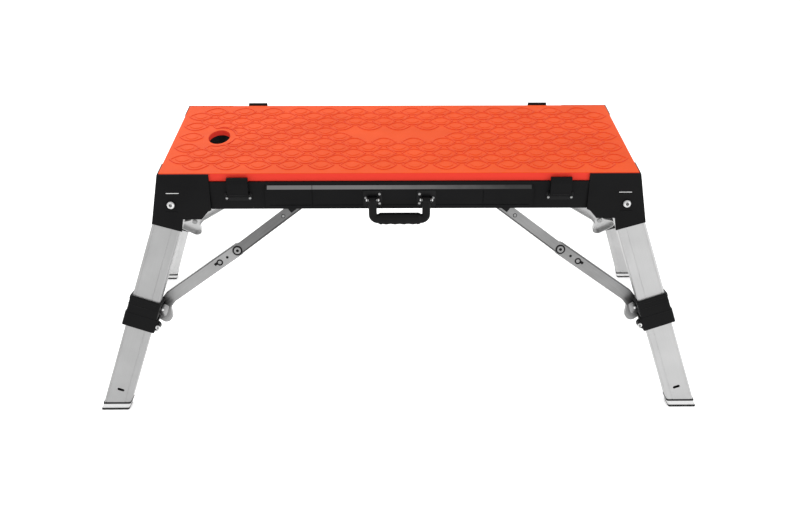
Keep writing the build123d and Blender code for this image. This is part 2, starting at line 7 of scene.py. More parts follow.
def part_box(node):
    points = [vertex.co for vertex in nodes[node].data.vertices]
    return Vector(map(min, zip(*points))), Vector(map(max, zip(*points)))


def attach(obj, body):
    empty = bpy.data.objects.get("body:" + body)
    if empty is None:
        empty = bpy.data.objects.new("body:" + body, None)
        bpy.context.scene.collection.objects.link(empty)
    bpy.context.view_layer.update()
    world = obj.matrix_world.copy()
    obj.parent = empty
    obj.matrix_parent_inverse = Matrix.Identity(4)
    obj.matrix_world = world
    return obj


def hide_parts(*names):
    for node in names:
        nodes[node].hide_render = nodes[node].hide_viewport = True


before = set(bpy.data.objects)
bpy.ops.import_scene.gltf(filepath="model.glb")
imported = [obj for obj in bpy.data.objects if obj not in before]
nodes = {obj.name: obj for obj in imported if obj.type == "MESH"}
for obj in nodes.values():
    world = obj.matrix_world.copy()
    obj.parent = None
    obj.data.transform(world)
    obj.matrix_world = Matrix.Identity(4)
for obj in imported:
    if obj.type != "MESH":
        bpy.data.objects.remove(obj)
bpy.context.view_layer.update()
scene = bpy.context.scene

MM = 0.001
CORNERS = {
    "front_left": (1, 1),
    "front_right": (-1, 1),
    "rear_left": (1, -1),
    "rear_right": (-1, -1),
}

# The leaning plane of the front left leg, in millimetres. The other corners
# are mirror images of it.
PIVOT = Vector((-486.0, -182.0, 475.0))
LEAN, SPLAY = math.radians(13.6), math.radians(18.87)
INWARD = Vector((1, 0, 0))
DOWN = Vector((0, -math.sin(LEAN), -math.cos(LEAN)))
DEPTH = Vector((0, math.cos(LEAN), -math.sin(LEAN)))
LEG_DOWN = DOWN * math.cos(SPLAY) - INWARD * math.sin(SPLAY)
LEG_IN = INWARD * math.cos(SPLAY) + DOWN * math.sin(SPLAY)
DECK_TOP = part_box("deck_panel")[1].z / MM

# how far the shading rounds off an edge, in metres
PLASTIC_EDGE, METAL_EDGE = 0.0008, 0.0006


# ------------------------------------------------------------ materials
def new_material(name):
    made = bpy.data.materials.new(name)
    made.use_nodes = True
    made.node_tree.nodes.clear()
    return made, made.node_tree


def node(tree, kind, **inputs):
    made = tree.nodes.new("ShaderNode" + kind)
    for key, value in inputs.items():
        made.inputs[key.replace("_", " ")].default_value = value
    return made


def shader(tree, **sockets):
    principled = tree.nodes.new("ShaderNodeBsdfPrincipled")
    for key, value in sockets.items():
        principled.inputs[key.replace("_", " ")].default_value = value
    out = tree.nodes.new("ShaderNodeOutputMaterial")
    tree.links.new(principled.outputs["BSDF"], out.inputs["Surface"])
    return principled


def ramp(tree, source, low, high, start=0.3, end=0.7):
    made = tree.nodes.new("ShaderNodeValToRGB")
    made.color_ramp.elements[0].position = start
    made.color_ramp.elements[0].color = low
    made.color_ramp.elements[1].position = end
    made.color_ramp.elements[1].color = high
    tree.links.new(source, made.inputs["Fac"])
    return made.outputs["Color"]


def grey(value):
    return (value, value, value, 1)


def rounded_bump(tree, height, strength, distance, edge):
    """A bump on a normal that rounds off the edges by a small radius."""
    bevel = tree.nodes.new("ShaderNodeBevel")
    bevel.samples = 4
    bevel.inputs["Radius"].default_value = edge
    bump = tree.nodes.new("ShaderNodeBump")
    bump.inputs["Strength"].default_value = strength
    bump.inputs["Distance"].default_value = distance
    tree.links.new(height, bump.inputs["Height"])
    tree.links.new(bevel.outputs["Normal"], bump.inputs["Normal"])
    return bump.outputs["Normal"]


def plastic(name, dark, light, rough, grain, depth, specular):
    """Moulded plastic: a fine grain, faint cloudy colour and uneven gloss."""
    made, tree = new_material(name)
    principled = shader(tree, Specular_IOR_Level=specular)
    where = tree.nodes.new("ShaderNodeTexCoord").outputs["Object"]
    cloud = node(tree, "TexNoise", Scale=9.0, Detail=4.0)
    fine = node(tree, "TexNoise", Scale=grain, Detail=3.0, Roughness=0.65)
    for noise in (cloud, fine):
        tree.links.new(where, noise.inputs["Vector"])
    tree.links.new(ramp(tree, cloud.outputs["Fac"], dark, light), principled.inputs["Base Color"])
    tree.links.new(
        ramp(tree, fine.outputs["Fac"], grey(rough - 0.06), grey(rough + 0.07)),
        principled.inputs["Roughness"],
    )
    tree.links.new(
        rounded_bump(tree, fine.outputs["Fac"], 0.35, depth, PLASTIC_EDGE),
        principled.inputs["Normal"],
    )
    return made


def paint_side_shade(material, side_shade_colour):
    """Painted shade: a deeper colour on the faces that don't look up, standing in for the light
    falling on them at a slant.
    """
    tree = material.node_tree
    principled = next(n for n in tree.nodes if n.type == "BSDF_PRINCIPLED")
    top_colour = principled.inputs["Base Color"].links[0].from_socket
    split = tree.nodes.new("ShaderNodeSeparateXYZ")
    tree.links.new(tree.nodes.new("ShaderNodeNewGeometry").outputs["Normal"], split.inputs[0])
    mix = tree.nodes.new("ShaderNodeMix")
    mix.data_type = "RGBA"
    mix.inputs[6].default_value = side_shade_colour
    tree.links.new(ramp(tree, split.outputs["Z"], grey(0), grey(1), 0.45, 0.95), mix.inputs[0])
    tree.links.new(top_colour, mix.inputs[7])
    tree.links.new(mix.outputs[2], principled.inputs["Base Color"])


def metal(name, dark, light, rough, axes, stretch, metallic=1.0):
    """Metal with fine lines along the first axis, and a faint cloudy tone."""
    made, tree = new_material(name)
    principled = shader(tree, Metallic=metallic, Specular_IOR_Level=0.5)
    where = tree.nodes.new("ShaderNodeTexCoord").outputs["Object"]
    combine = tree.nodes.new("ShaderNodeCombineXYZ")
    for socket, axis, scale in zip("XYZ", axes, stretch):
        dot = tree.nodes.new("ShaderNodeVectorMath")
        dot.operation = "DOT_PRODUCT"
        dot.inputs[1].default_value = Vector(axis) * scale
        tree.links.new(where, dot.inputs[0])
        tree.links.new(dot.outputs["Value"], combine.inputs[socket])
    lines = node(tree, "TexNoise", Scale=1.0, Detail=3.0, Roughness=0.6)
    cloud = node(tree, "TexNoise", Scale=14.0, Detail=3.0)
    tree.links.new(combine.outputs["Vector"], lines.inputs["Vector"])
    tree.links.new(where, cloud.inputs["Vector"])
    blend = tree.nodes.new("ShaderNodeMath")
    blend.operation = "MULTIPLY_ADD"
    blend.inputs[1].default_value = 0.5
    tree.links.new(lines.outputs["Fac"], blend.inputs[0])
    half = tree.nodes.new("ShaderNodeMath")
    half.operation = "MULTIPLY"
    half.inputs[1].default_value = 0.5
    tree.links.new(cloud.outputs["Fac"], half.inputs[0])
    tree.links.new(half.outputs["Value"], blend.inputs[2])
    tree.links.new(
        ramp(tree, blend.outputs["Value"], dark, light), principled.inputs["Base Color"]
    )
    tree.links.new(
        ramp(tree, lines.outputs["Fac"], grey(rough - 0.07), grey(rough + 0.08)),
        principled.inputs["Roughness"],
    )
    tree.links.new(
        rounded_bump(tree, lines.outputs["Fac"], 0.25, 0.00012, METAL_EDGE),
        principled.inputs["Normal"],
    )
    return made


ORANGE_DARK, ORANGE_LIGHT = (0.72, 0.070, 0.006, 1), (0.79, 0.084, 0.010, 1)
# the side orange is painted shade, laid on the deck's faces that don't look up
ORANGE_SIDE_SHADE = (0.68, 0.036, 0.020, 1)
BLACK_DARK, BLACK_LIGHT = (0.0035, 0.0035, 0.0038, 1), (0.0055, 0.0055, 0.0058, 1)
STEEL_LIGHT = (0.009, 0.009, 0.0095, 1)
deck_plastic = plastic("deck_plastic", ORANGE_DARK, ORANGE_LIGHT, 0.5, 900, 0.00018, 0.12)
paint_side_shade(deck_plastic, ORANGE_SIDE_SHADE)
body_plastic = plastic("body_plastic", BLACK_DARK, BLACK_LIGHT, 0.55, 1100, 0.00022, 0.08)
handle_plastic = plastic("handle_plastic", BLACK_DARK, BLACK_LIGHT, 0.34, 700, 0.00015, 0.09)
black_steel = plastic("black_steel", BLACK_DARK, STEEL_LIGHT, 0.4, 1500, 0.0001, 0.12)
XYZ_AXES = ((1, 0, 0), (0, 1, 0), (0, 0, 1))
FINE_SPOTS = (500, 500, 500)
# the edge satin is a pale satin that paints a highlight along the latches' top edges
edge_highlight_satin = metal("edge_highlight_satin", grey(0.16), grey(0.26), 0.3, XYZ_AXES, (8, 600, 600), 0.6)
bright_steel = metal("bright_steel", grey(0.50), grey(0.72), 0.28, XYZ_AXES, FINE_SPOTS)
rivet_steel = metal("rivet_steel", grey(0.22), grey(0.34), 0.32, XYZ_AXES, FINE_SPOTS)


def strip_reflection_material():
    """A satin strip that darkens from the left end to the right, as a painted reflection on the
    bevel.
    """
    made, tree = new_material("strip_reflection_satin")
    principled = shader(tree, Metallic=0.3, Specular_IOR_Level=0.3, Roughness=0.42)
    where = tree.nodes.new("ShaderNodeTexCoord").outputs["Object"]
    split = tree.nodes.new("ShaderNodeSeparateXYZ")
    tree.links.new(where, split.inputs["Vector"])
    fine = node(tree, "TexNoise", Scale=60.0, Detail=3.0)
    tree.links.new(where, fine.inputs["Vector"])
    place = tree.nodes.new("ShaderNodeMath")
    place.operation = "MULTIPLY_ADD"
    place.inputs[1].default_value = 0.12
    tree.links.new(fine.outputs["Fac"], place.inputs[0])
    tree.links.new(split.outputs["X"], place.inputs[2])
    # painted reflection: the base colour runs from pale at the left end to dark at the right
    tree.links.new(
        ramp(tree, place.outputs["Value"], grey(0.15), grey(0.03), 0.0, 0.3),
        principled.inputs["Base Color"],
    )
    tree.links.new(
        rounded_bump(tree, fine.outputs["Fac"], 0.1, 0.0001, 0.0004), principled.inputs["Normal"]
    )
    return made


strip_reflection_satin = strip_reflection_material()


def mirrored(direction, corner):
    sx, sy = CORNERS[corner]
    return (direction.x * sx, direction.y * sy, direction.z)


# per-corner tones are painted light: one metal in lit and shaded copies, set by how the light
# falls on each corner; the dark front upper links are painted shade under the deck
LEG_PAINTED_LIGHT = {"front_left": 0.33, "front_right": 0.42, "rear_left": 0.50, "rear_right": 0.40}
LINK_PAINTED_LIGHT = {"front_left": 0.27, "front_right": 0.21, "rear_left": 0.45, "rear_right": 0.40}
UPPER_PAINTED_LIGHT = {"front_left": 0.10, "front_right": 0.21, "rear_left": 0.4, "rear_right": 0.4}
LEG_SPREAD, LINK_SPREAD = 0.08, 0.1
LINK_SLOPE = math.radians(37)
LINK_ALONG = INWARD * math.cos(LINK_SLOPE) - DOWN * math.sin(LINK_SLOPE)
LINK_ACROSS = INWARD * math.sin(LINK_SLOPE) + DOWN * math.cos(LINK_SLOPE)
leg_metal, link_metal, upper_metal = {}, {}, {}
LINK_TABLES = (("link", link_metal, LINK_PAINTED_LIGHT), ("upper", upper_metal, UPPER_PAINTED_LIGHT))
for corner in CORNERS:
    leg_axes = [mirrored(d, corner) for d in (LEG_DOWN, LEG_IN, DEPTH)]
    leg_metal[corner] = metal(
        f"leg_aluminium_painted_light_{corner}",
        grey(LEG_PAINTED_LIGHT[corner]),
        grey(LEG_PAINTED_LIGHT[corner] + LEG_SPREAD),
        0.42,
        leg_axes,
        (5, 900, 900),
    )
    link_axes = [mirrored(d, corner) for d in (LINK_ALONG, LINK_ACROSS, DEPTH)]
    for what, table, painted_tones in LINK_TABLES:
        table[corner] = metal(
            f"{what}_steel_{corner}",
            grey(painted_tones[corner]),
            grey(painted_tones[corner] + LINK_SPREAD),
            0.36,
            link_axes,
            (16, 500, 500),
        )


FOOT_BAND_Z, FOOT_BAND_HALF = 0.0095, 0.0046


def foot_material():
    """Black rubber below and above a pale band, split by height."""
    made, tree = new_material("foot_layers")
    principled = shader(tree, Specular_IOR_Level=0.3)
    where = tree.nodes.new("ShaderNodeTexCoord").outputs["Object"]
    split = tree.nodes.new("ShaderNodeSeparateXYZ")
    tree.links.new(where, split.inputs["Vector"])
    fine = node(tree, "TexNoise", Scale=700.0, Detail=3.0)
    tree.links.new(where, fine.inputs["Vector"])
    band = tree.nodes.new("ShaderNodeMath")
    band.operation = "COMPARE"
    band.inputs[1].default_value = FOOT_BAND_Z
    band.inputs[2].default_value = FOOT_BAND_HALF
    tree.links.new(split.outputs["Z"], band.inputs[0])
    mix = tree.nodes.new("ShaderNodeMix")
    mix.data_type = "RGBA"
    tree.links.new(band.outputs["Value"], mix.inputs["Factor"])
    tree.links.new(ramp(tree, fine.outputs["Fac"], grey(0.006), grey(0.011)), mix.inputs[6])
    tree.links.new(ramp(tree, fine.outputs["Fac"], grey(0.62), grey(0.70)), mix.inputs[7])
    tree.links.new(mix.outputs[2], principled.inputs["Base Color"])
    tree.links.new(
        ramp(tree, fine.outputs["Fac"], grey(0.5), grey(0.65)), principled.inputs["Roughness"]
    )
    tree.links.new(
        rounded_bump(tree, fine.outputs["Fac"], 0.3, 0.0002, 0.0006), principled.inputs["Normal"]
    )
    return made


foot_layers = foot_material()

PREFIX_MATERIALS = (
    ("deck_panel", deck_plastic),
    ("frame_body", body_plastic),
    ("front_fascia", body_plastic),
    ("rear_fascia", body_plastic),
    ("corner_cap", body_plastic),
    ("collar_screw", bright_steel),
    ("collar", handle_plastic),
    ("latch_bases", black_steel),
    ("latch_pins", bright_steel),
    ("latch_rivets", rivet_steel),
    ("latch", body_plastic),
    ("foot", foot_layers),
    ("handle_brackets", black_steel),
    ("handle_pins", bright_steel),
    ("handle_rivets", rivet_steel),
    ("handle", handle_plastic),
    ("brace_brackets", black_steel),
    ("brace_bracket_pins", bright_steel),
    ("brace_lower_fixings", rivet_steel),
    ("knee_pin", rivet_steel),
    ("leg_pivot_bolts", bright_steel),
)


def corner_of(name):
    return next(c for c in CORNERS if name.endswith(c))


for name, obj in nodes.items():
    if name.startswith(("leg_upper_tube", "leg_lower_tube")):
        chosen = leg_metal[corner_of(name)]
    elif name.startswith("brace_upper_link"):
        chosen = upper_metal[corner_of(name)]
    elif name.startswith("brace_lower_link"):
        chosen = link_metal[corner_of(name)]
    else:
        chosen = next(m for prefix, m in PREFIX_MATERIALS if name.startswith(prefix))
    obj.data.materials.clear()
    obj.data.materials.append(chosen)


# ------------------------------------------------------------ mesh helpers
def to_object(name, bm, material, body, smooth=35):
    """A finished bmesh, in millimetres, as a piece that rides on a body."""
    bmesh.ops.remove_doubles(bm, verts=bm.verts, dist=0.0005)
    bmesh.ops.recalc_face_normals(bm, faces=bm.faces)
    bm.transform(Matrix.Scale(MM, 4))
    mesh = bpy.data.meshes.new(name)
    bm.to_mesh(mesh)
    bm.free()
    mesh.materials.append(material)
    obj = bpy.data.objects.new(name, mesh)
    scene.collection.objects.link(obj)
    for face in mesh.polygons:
        face.use_smooth = True
    mesh.set_sharp_from_angle(angle=math.radians(smooth))
    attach(obj, body)
    return obj


def skin_rings(bm, rings, caps=True, closed=True):
    """Faces between successive rings of points, with a fan over each end."""
    rows = [[bm.verts.new(p) for p in ring] for ring in rings]
    count = len(rows[0])
    for a, b in zip(rows, rows[1:]):
        for i in range(count if closed else count - 1):
            j = (i + 1) % count
            bm.faces.new((a[i], a[j], b[j], b[i]))
    if caps:
        bm.faces.new(rows[0])
        bm.faces.new(rows[-1])
    return rows


def flip_to(bm, corner):
    sx, sy = CORNERS[corner]
    bm.transform(Matrix.Diagonal((sx, sy, 1, 1)))


def slope_point(inward, down, depth=0.0):
    return PIVOT + INWARD * inward + DOWN * down + DEPTH * depth


def leg_point(along, across, depth):
    return PIVOT + LEG_DOWN * along + LEG_IN * across + DEPTH * depth


CORNER_STEPS = 4


def rounded_loop(width, height, radius):
    """A rounded rectangle about the origin, as (x, y) pairs."""
    made = []
    for cx, cy, turn in ((1, 1, 0), (-1, 1, 90), (-1, -1, 180), (1, -1, 270)):
        for k in range(CORNER_STEPS + 1):
            angle = math.radians(turn + 90 * k / CORNER_STEPS)
            made.append(
                (
                    cx * (width / 2 - radius) + radius * math.cos(angle),
                    cy * (height / 2 - radius) + radius * math.sin(angle),
                )
            )
    return made


# ------------------------------------------------------------ deck pattern
# Pointed ovals in offset rows. Each has a raised rim round a raised middle.
PITCH_X, PITCH_Y = 67.0, 60.0
OVAL_X, OVAL_Y = 29.5, 24.0
FIELD_X, FIELD_Y = 500.0, 184.0
HOLE_X, RING_X, RING_Y = -407.0, 36.0, 50.0
BAND_X, BAND_LOW, BAND_HIGH = 104.0, -20.0, 42.0
RIM = ((1.0, -0.3), (0.95, 1.4), (0.85, 1.4), (0.8, 0.05), (0.55, 0.05), (0.49, 1.2), (0.2, 1.3))
OVAL_STEPS = 14


def oval_outline(cx, cy):
    """Two arcs that meet at the left and right, pushed out of the hole's ring."""
    made = []
    for k in range(2 * OVAL_STEPS):
        turn = math.pi * k / OVAL_STEPS
        x = OVAL_X * math.cos(turn)
        y = math.copysign(OVAL_Y * (1 - (x / OVAL_X) ** 2), math.sin(turn))
        x, y = cx + x, cy + y
        reach = math.hypot((x - HOLE_X) / RING_X, y / RING_Y)
        if 0 < reach < 1:
            x, y = HOLE_X + (x - HOLE_X) / reach, y / reach
        made.append(Vector((x, y, DECK_TOP)))
    return made


def oval_fits(cx, cy):
    in_field = abs(cx) + OVAL_X < FIELD_X and abs(cy) + OVAL_Y < FIELD_Y
    in_ring = math.hypot((cx - HOLE_X) / RING_X, cy / RING_Y) < 1
    in_band = abs(cx) < BAND_X and BAND_LOW < cy < BAND_HIGH
    return in_field and not in_ring and not in_band


bm = bmesh.new()
columns, rows = int(FIELD_X / PITCH_X) + 1, int(2 * FIELD_Y / PITCH_Y) + 1
for row in range(-rows, rows + 1):
    for column in range(-columns, columns + 1):
        cx = (column + (0.5 if row % 2 else 0.0)) * PITCH_X
        cy = row * PITCH_Y / 2
        if not oval_fits(cx, cy):
            continue
        outline = oval_outline(cx, cy)
        middle = sum(outline, Vector()) / len(outline)
        rings = [
            [middle + (p - middle) * scale + Vector((0, 0, height)) for p in outline]
            for scale, height in RIM
        ]
        made = skin_rings(bm, rings, caps=False)
        bm.faces.new(made[-1])
to_object("deck_pattern", bm, deck_plastic, "root", smooth=25)

# ------------------------------------------------------------ handle
ARM_X, HINGE_Y, HINGE_Z = 57.0, -207.0, 493.0
GRIP_Z, CORNER_RADIUS = 448.3, 10.8
ARM_STEPS, CORNER_TURNS, GRIP_STEPS = 7, 8, 48
ARM_WIDTH, ARM_THICK = 17.4, 12.0
GRIP_WIDER, GRIP_THICKER = 8.4, 6.4
# how much of the grip's extra thickness is there by the end of the corner
CORNER_GRIP = 0.35
WAVE_PITCH, WAVE_DEPTH, WAVE_REACH = 19.0, 1.3, 38
RING_STEPS, BARREL_STEPS, RIB_STEPS = 24, 28, 12
BARREL_PROFILE = ((-8.5, 5.2), (-7.7, 6.4), (7.7, 6.4), (8.5, 5.2))
RIB_PITCH, RIB_RADII = 7.6, (9.0, 12.6)
RIB_PROFILE = ((-1.2, -0.4), (-0.6, 0.5), (0.6, 0.5), (1.2, -0.4))


def handle_path():
    """Points down one arm, along the grip and up the other, with headings."""
    made = []
    for k in range(ARM_STEPS):
        drop = (HINGE_Z - GRIP_Z - CORNER_RADIUS) * k / ARM_STEPS
        made.append((-ARM_X, HINGE_Z - drop, -90.0, 0.0))
    for k in range(CORNER_TURNS + 1):
        turn = 90.0 * k / CORNER_TURNS
        angle = math.radians(180 + turn)
        made.append(
            (
                -ARM_X + CORNER_RADIUS + CORNER_RADIUS * math.cos(angle),
                GRIP_Z + CORNER_RADIUS + CORNER_RADIUS * math.sin(angle),
                turn - 90.0,
                CORNER_GRIP * k / CORNER_TURNS,
            )
        )
    one_side = list(made)
    reach = ARM_X - CORNER_RADIUS
    for k in range(1, GRIP_STEPS):
        x = -reach + 2 * reach * k / GRIP_STEPS
        made.append((x, GRIP_Z, 0.0, min(1.0, CORNER_GRIP + (reach - abs(x)) / 8)))
    return made + [(-x, z, -turn, grip) for x, z, turn, grip in reversed(one_side)]


bm = bmesh.new()
rings = []
for x, z, turn, grip in handle_path():
    wave = 0.5 - 0.5 * math.cos(2 * math.pi * x / WAVE_PITCH)
    across = ARM_WIDTH + grip * GRIP_WIDER
    thick = ARM_THICK + grip * GRIP_THICKER
    heading = math.radians(turn)
    side = Vector((-math.sin(heading), 0, math.cos(heading)))
    ring = []
    for k in range(RING_STEPS):
        angle = 2 * math.pi * k / RING_STEPS
        u, v = math.cos(angle), math.sin(angle)
        u = math.copysign(abs(u) ** 0.7, u) * across / 2
        v = math.copysign(abs(v) ** 0.7, v) * thick / 2
        if grip > 0.99 and u < 0 and abs(x) < WAVE_REACH:
            u += WAVE_DEPTH * (1 - wave)
        ring.append(Vector((x, HINGE_Y, z)) + side * u + Vector((0, v, 0)))
    rings.append(ring)
skin_rings(bm, rings)
for sign in (-1, 1):
    barrel = []
    for x, radius in BARREL_PROFILE:
        barrel.append(
            [
                Vector(
                    (
                        sign * ARM_X + x,
                        HINGE_Y + radius * math.cos(math.tau * k / BARREL_STEPS),
                        HINGE_Z + radius * math.sin(math.tau * k / BARREL_STEPS),
                    )
                )
                for k in range(BARREL_STEPS)
            ]
        )
    skin_rings(bm, barrel)
# raised ribs across the top of the grip
for k in range(-4, 5):
    ribs = []
    for dx, lift in RIB_PROFILE:
        arc = []
        for j in range(RIB_STEPS + 1):
            angle = math.radians(20 + 140 * j / RIB_STEPS)
            y = HINGE_Y + (RIB_RADII[0] + lift) * math.cos(angle)
            z = GRIP_Z + (RIB_RADII[1] + lift) * math.sin(angle)
            arc.append(Vector((RIB_PITCH * k + dx, y, z)))
        ribs.append(arc)
    skin_rings(bm, ribs, caps=False, closed=False)
handle = to_object("carry_handle", bm, handle_plastic, "handle", smooth=40)
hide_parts("handle")


# ------------------------------------------------------------ corner details
DOME_STEPS, DISC_STEPS = 20, 28


def dome(bm, centre, axis, across, radius, height, socket=0.0):
    """A domed head on an axis, with an optional recess in its middle."""
    up = axis.cross(across).normalized()
    profile = [(radius, 0.0), (radius, height * 0.35), (radius * 0.86, height * 0.8)]
    if socket:
        profile += [(socket * 1.25, height), (socket, height * 0.75), (socket, 0.0)]
    else:
        profile += [(radius * 0.5, height), (radius * 0.15, height)]
    rings = []
    for r, lift in profile:
        rings.append(
            [
                centre
                + axis * lift
                + across * (r * math.cos(math.tau * k / DOME_STEPS))
                + up * (r * math.sin(math.tau * k / DOME_STEPS))
                for k in range(DOME_STEPS)
            ]
        )
    skin_rings(bm, rings)


def pad(bm, centre, across, up, out, size, radius, height, soften):
    """A raised rounded pad with a soft edge."""
    profile = (
        (0, -0.3),
        (0, height - soften),
        (soften * 0.4, height - soften * 0.3),
        (soften, height),
    )
    rings = []
    for shrink, lift in profile:
        loop = rounded_loop(size[0] - 2 * shrink, size[1] - 2 * shrink, max(radius - shrink, 0.3))
        rings.append([centre + across * u + up * v + out * lift for u, v in loop])
    skin_rings(bm, rings)


UP, OUTWARD = Vector((0, 0, 1)), Vector((0, -1, 0))
CAP_LEAN = math.radians(5.4)
CAP_FACE = Vector((0, -math.cos(CAP_LEAN), -math.sin(CAP_LEAN)))
CAP_RISE = CAP_FACE.cross(INWARD).normalized()
SLOT_STRIP_AT, SLOT_STRIP_SIZE = Vector((-481, -196.6, 505)), (28, 1.9)
CAP_RIB_AT, CAP_RIB_SIZE = Vector((-486, -201.4, 462)), (26, 3.0)
# where each band round the collar starts and ends, and how far it stands out
COLLAR_BANDS = ((232.5, 241.0, 1.0), (251.0, 253.0, 0.6))
COLLAR_WIDTH, COLLAR_THICK, COLLAR_DEPTH = 69.6, 38, 15
BOLT_FACE_AT, SCREW_FACE_AT = slope_point(0, 0, -24), leg_point(287, 42.3, -5)
for corner in CORNERS:
    # domed pivot bolt face, with a round recess
    bm = bmesh.new()
    dome(bm, BOLT_FACE_AT, -DEPTH, INWARD, 7.2, 2.6, socket=3.4)
    flip_to(bm, corner)
    to_object(f"bolt_face_{corner}", bm, bright_steel, "root")
    # a bright strip in the slot over the bolt
    bm = bmesh.new()
    pad(bm, SLOT_STRIP_AT, INWARD, UP, OUTWARD, SLOT_STRIP_SIZE, 0.9, 0.9, 0.3)
    flip_to(bm, corner)
    to_object(f"cap_slot_strip_{corner}", bm, bright_steel, "root")
    # a rib low on the face of the cap
    bm = bmesh.new()
    pad(bm, CAP_RIB_AT, INWARD, CAP_RISE, CAP_FACE, CAP_RIB_SIZE, 1.4, 0.9, 0.5)
    flip_to(bm, corner)
    to_object(f"cap_rib_{corner}", bm, body_plastic, "root")
    # bands round the collar
    bm = bmesh.new()
    for start, end, grow in COLLAR_BANDS:
        rings = []
        for s, extra in ((start, 0.0), (start + 1, grow), (end - 1, grow), (end, 0.0)):
            loop = rounded_loop(COLLAR_WIDTH + 2 * extra, COLLAR_THICK + 2 * extra, 4 + extra)
            rings.append([leg_point(s, u, COLLAR_DEPTH + v) for u, v in loop])
        skin_rings(bm, rings, caps=False)
    flip_to(bm, corner)
    to_object(f"collar_bands_{corner}", bm, handle_plastic, f"leg_{corner}")
    # domed head on the collar's screw
    bm = bmesh.new()
    dome(bm, SCREW_FACE_AT, -DEPTH, INWARD, 5.0, 1.6, socket=2.2)
    flip_to(bm, corner)
    to_object(
        f"collar_screw_face_{corner}", bm, bright_steel, f"leg_{corner}"
    )

# ------------------------------------------------------------ knees and links
KNEE, BEND, HANGER = (126.6, 118.9), (-30.0, 229.0), (279.54, 3.65)
LOWER_FACE, UPPER_FACE, PIN_FACE = 42.6, 37.6, 35.8
PLUG_AT, LOCK_AT, LOCK_SCREW_AT = 61, 51, 30
CHEEK_SIZE, CHEEK_AT = (15.5, 27), (251.5, 43.2, 20)
BOSS_RIVET_AT = (252, 38.5, 18.9)


def face_disc(bm, centre, radius, face, thick, hole=0.0):
    """A flat round plate, or ring, that stands out from a face of the slope."""
    profile = [(radius, 0.1), (radius, -thick + 0.2), (radius - 0.2, -thick)]
    if hole:
        profile += [(hole + 0.2, -thick), (hole, -thick + 0.2), (hole, 0.1)]
    rings = []
    for r, lift in profile:
        rings.append(
            [
                slope_point(
                    centre[0] + r * math.cos(math.tau * k / DISC_STEPS),
                    centre[1] + r * math.sin(math.tau * k / DISC_STEPS),
                    face + lift,
                )
                for k in range(DISC_STEPS)
            ]
        )
    skin_rings(bm, rings, caps=not hole)


def face_strip(bm, start, end, offset, width, face, thick):
    """A thin straight line along a link, beside its middle."""
    begin, finish = Vector(start), Vector(end)
    way = (finish - begin).normalized()
    side = Vector((way.y, -way.x))
    if side.y > 0:
        side = -side
    corners = []
    for at in (begin, finish):
        for across in (offset - width / 2, offset + width / 2):
            corners.append(at + side * across)
    loop = [corners[0], corners[1], corners[3], corners[2]]
    skin_rings(bm, [[slope_point(p.x, p.y, face + d) for p in loop] for d in (0.1, -thick)])


def part_way(start, end, distance):
    begin, finish = Vector(start), Vector(end)
    return begin + (finish - begin).normalized() * distance


for corner in CORNERS:
    lower, upper = f"brace_lower_{corner}", f"brace_upper_{corner}"
    # dark washer round the knee pin, and a black pad near the hanger
    bm = bmesh.new()
    face_disc(bm, KNEE, 11.0, UPPER_FACE, 0.5, hole=7.7)
    face_disc(bm, KNEE, 3.4, PIN_FACE, 0.4)
    face_disc(bm, part_way(HANGER, KNEE, PLUG_AT), 4.6, UPPER_FACE, 0.3, hole=3.2)
    face_strip(bm, part_way(HANGER, KNEE, 22), part_way(HANGER, KNEE, 42), 1, 12, UPPER_FACE, 0.5)
    face_strip(bm, part_way(HANGER, KNEE, 20), KNEE, -9.6, 1.4, UPPER_FACE, 0.25)
    flip_to(bm, corner)
    to_object(f"knee_washer_{corner}", bm, black_steel, upper)
    bm = bmesh.new()
    face_disc(bm, part_way(HANGER, KNEE, PLUG_AT), 3.3, UPPER_FACE, 0.2)
    flip_to(bm, corner)
    to_object(f"link_plug_{corner}", bm, rivet_steel, upper)
    # dark plates under the lock's button, and the line beside the fold
    bm = bmesh.new()
    face_disc(bm, part_way(KNEE, BEND, LOCK_AT), 7.4, LOWER_FACE, 0.4, hole=4.3)
    face_strip(bm, part_way(KNEE, BEND, 57), part_way(KNEE, BEND, 64), 2, 6, LOWER_FACE, 0.4)
    face_disc(bm, part_way(KNEE, BEND, LOCK_SCREW_AT), 3.0, LOWER_FACE, 0.3)
    face_strip(bm, part_way(KNEE, BEND, 2), BEND, 12.7, 1.3, LOWER_FACE, 0.25)
    flip_to(bm, corner)
    to_object(f"lock_plate_{corner}", bm, black_steel, lower)
    # pale cheek on the collar's boss, with the head of its rivet; the cheek takes the link's
    # per-corner tone, which is painted light
    bm = bmesh.new()
    loop = rounded_loop(*CHEEK_SIZE, 6)
    along, across, depth = CHEEK_AT
    rings = []
    for lift, shrink in ((0.2, 0.0), (-0.9, 0.0), (-1.1, 0.3)):
        wide, long = 1 - shrink / 8, 1 - shrink / 13
        rings.append(
            [leg_point(along + v * long, across + u * wide, depth + lift) for u, v in loop]
        )
    skin_rings(bm, rings)
    flip_to(bm, corner)
    to_object(f"boss_cheek_{corner}", bm, link_metal[corner], f"leg_{corner}")
    bm = bmesh.new()
    dome(bm, leg_point(*BOSS_RIVET_AT), -DEPTH, INWARD, 3.6, 1.6)
    flip_to(bm, corner)
    to_object(f"boss_rivet_{corner}", bm, bright_steel, f"leg_{corner}")

# ------------------------------------------------------------ latches
LATCH_X, LATCH_RIB_Y, LATCH_RIB_Z, LATCH_EDGE_Y = -342.0, -203.3, 503, -197.2
LATCH_OUT, LATCH_RISE = Vector((0, -1, 0.03)).normalized(), Vector((0, 0.03, 1)).normalized()
LATCH_RIB_SIZE, LATCH_EDGE_SIZE = (36, 1.8), (40, 3.0)
